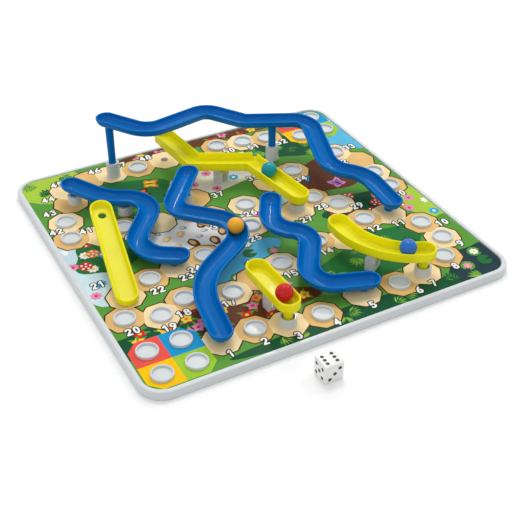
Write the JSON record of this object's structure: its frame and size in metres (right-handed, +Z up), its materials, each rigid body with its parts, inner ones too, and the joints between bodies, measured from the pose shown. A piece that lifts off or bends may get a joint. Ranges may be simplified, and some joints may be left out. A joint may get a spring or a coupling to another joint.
{
  "type": "snakes and ladders board game",
  "caption": "Tabletop snakes and ladders board: a moulded tray with a printed trail of cups, plug-in chutes and see-saw troughs for rolling balls, with a die.",
  "frame": {"origin": "centre of the tray's underside, at the middle of the flat pad that stands on the table", "axes": "+X to the right along the front edge, +Y from the front edge to the back, +Z up"},
  "size_m": [0.322, 0.35, 0.0669],
  "materials": {
    "tray_plastic": "gloss",
    "printed_card": "satin print",
    "pin_plastic": "gloss",
    "snake_plastic": "gloss",
    "ladder_plastic": "gloss",
    "orange_plastic": "gloss",
    "red_plastic": "gloss",
    "blue_plastic": "gloss",
    "teal_plastic": "gloss",
    "die_plastic": "gloss"
  },
  "bodies": {
    "board": {"base_tray": "tray_plastic", "printed_sheet": "printed_card", "start_cups": "tray_plastic", "finish_cups": "tray_plastic", "first_row_cups": "tray_plastic", "second_row_cups": "tray_plastic", "third_row_cups": "tray_plastic", "fourth_row_cups": "tray_plastic", "fifth_row_cups": "tray_plastic", "tall_sockets": "tray_plastic", "short_sockets": "tray_plastic", "ladder_sockets": "tray_plastic", "left_fulcrum": "tray_plastic", "zigzag_fulcrum": "tray_plastic", "curved_fulcrum": "tray_plastic", "front_fulcrum": "tray_plastic", "pivot_pins": "pin_plastic"},
    "long_snake": {"long_snake": "snake_plastic"},
    "left_snake": {"left_snake": "snake_plastic"},
    "centre_snake": {"centre_snake": "snake_plastic"},
    "right_snake": {"right_snake": "snake_plastic"},
    "left_ladder": {"left_ladder": "ladder_plastic"},
    "zigzag_ladder": {"zigzag_ladder": "ladder_plastic"},
    "curved_ladder": {"curved_ladder": "ladder_plastic"},
    "front_ladder": {"front_ladder": "ladder_plastic"},
    "orange_ball": {"orange_ball": "orange_plastic"},
    "red_ball": {"red_ball": "red_plastic"},
    "blue_ball": {"blue_ball": "blue_plastic"},
    "teal_ball": {"teal_ball": "teal_plastic"},
    "die": {"die": "die_plastic"}
  },
  "joints": [
    {"name": "left_ladder_tilt", "type": "hinge", "parent": "board", "child": "left_ladder", "pos_m": [-0.124, -0.002, 0.014], "axis": [-0.9863, 0.165, 0], "range_deg": [0, 22]},
    {"name": "zigzag_ladder_tilt", "type": "hinge", "parent": "board", "child": "zigzag_ladder", "pos_m": [0.00904, 0.0724, 0.0175], "axis": [-0.8861, -0.4635, 0], "range_deg": [0, 12]},
    {"name": "curved_ladder_tilt", "type": "hinge", "parent": "board", "child": "curved_ladder", "pos_m": [0.058, -0.101, 0.0175], "axis": [-0.8572, -0.515, 0], "range_deg": [0, 14]},
    {"name": "front_ladder_tilt", "type": "hinge", "parent": "board", "child": "front_ladder", "pos_m": [-0.037, -0.107, 0.0175], "axis": [-0.9994, -0.0349, 0], "range_deg": [0, 20]},
    {"name": "long_snake_lift", "type": "slide", "parent": "board", "child": "long_snake", "axis": [0, 0, 1], "range_m": [0, 0.025]},
    {"name": "left_snake_lift", "type": "slide", "parent": "board", "child": "left_snake", "axis": [0, 0, 1], "range_m": [0, 0.01]},
    {"name": "centre_snake_lift", "type": "slide", "parent": "board", "child": "centre_snake", "axis": [0, 0, 1], "range_m": [0, 0.01]},
    {"name": "right_snake_lift", "type": "slide", "parent": "board", "child": "right_snake", "axis": [0, 0, 1], "range_m": [0, 0.01]},
    {"name": "orange_ball_roll", "type": "hinge", "parent": "centre_snake", "child": "orange_ball", "pos_m": [-0.04781, -0.02114, 0.02638], "axis": [0.0051, 0.0717, -0.9974], "range_deg": [-42, 42]},
    {"name": "red_ball_roll", "type": "slide", "parent": "front_ladder", "child": "red_ball", "axis": [-0.0349, 0.9994, 0], "range_m": [-0.006, 0.039]},
    {"name": "blue_ball_roll", "type": "hinge", "parent": "curved_ladder", "child": "blue_ball", "pos_m": [0.10943, -0.0701, 0.0175], "axis": [0, 0, -1], "range_deg": [-13, 64]},
    {"name": "teal_ball_roll", "type": "slide", "parent": "zigzag_ladder", "child": "teal_ball", "axis": [-0.204, 0.9764, 0.0706], "range_m": [-0.039, 0.022]},
    {"name": "die_lift", "type": "slide", "parent": "board", "child": "die", "axis": [0, 0, 1], "range_m": [0, 0.05]}
  ]
}
